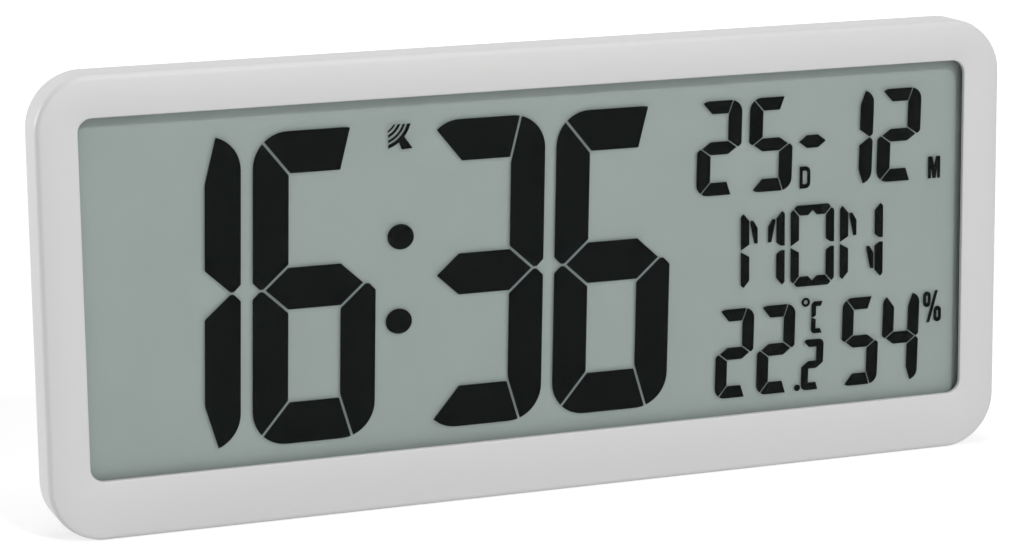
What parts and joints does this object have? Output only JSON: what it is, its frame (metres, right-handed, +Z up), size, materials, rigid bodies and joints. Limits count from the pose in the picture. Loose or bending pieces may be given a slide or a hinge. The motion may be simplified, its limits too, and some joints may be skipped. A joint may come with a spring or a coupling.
{
  "type": "digital wall clock",
  "caption": "Large radio-controlled LCD clock: rounded plastic frame, recessed display, rear case with battery bay, keyholes, push buttons and fold-out stand legs.",
  "frame": {"origin": "middle of the base, half way through the depth", "axes": "+X to the right seen from the front, +Y to the back, +Z up; the display faces -Y"},
  "size_m": [0.3364, 0.0256, 0.15],
  "materials": {
    "frame_plastic": "satin moulded",
    "rear_plastic": "fine texture",
    "clear_pane": "clear acrylic",
    "display_glass": "clear",
    "polariser": "clear film",
    "display_marks": "dark display mark",
    "cell_seal": "cured resin",
    "reflector": "diffuse reflective film",
    "carrier_plastic": "moulded",
    "screw_steel": "zinc plated",
    "nickel_metal": "nickel plated",
    "connector_rubber": "layered elastomer",
    "board_laminate": "green solder mask",
    "chip_seal": "epoxy",
    "switch_plastic": "moulded",
    "sensor_plastic": "moulded",
    "ferrite": "sintered",
    "copper_wire": "lacquered copper",
    "ribbon_grey": "soft vinyl",
    "cell_jacket": "printed metal sleeve",
    "lead_red": "soft vinyl",
    "lead_black": "soft vinyl",
    "button_plastic": "satin moulded"
  },
  "bodies": {
    "clock": {"front_frame": "frame_plastic", "display_lens": "clear_pane", "lcd_front_polariser": "polariser", "lcd_front_glass": "display_glass", "lcd_rear_glass": "display_glass", "lcd_edge_seal": "cell_seal", "lcd_time_segments": "display_marks", "lcd_date_segments": "display_marks", "lcd_weekday_segments": "display_marks", "lcd_climate_segments": "display_marks", "lcd_symbols": "display_marks", "lcd_reflector": "reflector", "display_carrier": "carrier_plastic", "carrier_screws": "screw_steel", "board_screws": "screw_steel", "housing_screws": "screw_steel", "lcd_connector": "connector_rubber", "main_board": "board_laminate", "receiver_board": "board_laminate", "driver_chip": "chip_seal", "quartz_crystal": "nickel_metal", "tact_switches": "switch_plastic", "climate_sensor": "sensor_plastic", "antenna_rod": "ferrite", "antenna_coil": "copper_wire", "receiver_ribbon": "ribbon_grey", "battery_cells": "cell_jacket", "battery_bridge": "nickel_metal", "battery_terminal_plus": "nickel_metal", "battery_terminal_minus": "nickel_metal", "lead_plus": "lead_red", "lead_minus": "lead_black", "rear_cover": "rear_plastic"},
    "battery_door": {"battery_door": "rear_plastic"},
    "stand_leg_left": {"stand_leg_left": "rear_plastic"},
    "stand_leg_right": {"stand_leg_right": "rear_plastic"},
    "button_mode": {"button_mode": "button_plastic"},
    "button_set": {"button_set": "button_plastic"},
    "button_up": {"button_up": "button_plastic"},
    "button_down": {"button_down": "button_plastic"}
  },
  "joints": [
    {"name": "battery_door_hinge", "type": "hinge", "parent": "clock", "child": "battery_door", "pos_m": [0, 0.01125, 0.0435], "axis": [-1, 0, 0], "range_deg": [0, 95]},
    {"name": "leg_left_hinge", "type": "hinge", "parent": "clock", "child": "stand_leg_left", "pos_m": [-0.10525, 0.01105, 0.062], "axis": [1, 0, 0], "range_deg": [0, 25]},
    {"name": "leg_right_hinge", "type": "hinge", "parent": "clock", "child": "stand_leg_right", "pos_m": [0.10525, 0.01105, 0.062], "axis": [1, 0, 0], "range_deg": [0, 25]},
    {"name": "button_mode_press", "type": "slide", "parent": "clock", "child": "button_mode", "axis": [0, -1, 0], "range_m": [0, 0.0008], "stiffness_N_per_m": 600},
    {"name": "button_set_press", "type": "slide", "parent": "clock", "child": "button_set", "axis": [0, -1, 0], "range_m": [0, 0.0008], "stiffness_N_per_m": 600},
    {"name": "button_up_press", "type": "slide", "parent": "clock", "child": "button_up", "axis": [0, -1, 0], "range_m": [0, 0.0008], "stiffness_N_per_m": 600},
    {"name": "button_down_press", "type": "slide", "parent": "clock", "child": "button_down", "axis": [0, -1, 0], "range_m": [0, 0.0008], "stiffness_N_per_m": 600}
  ]
}
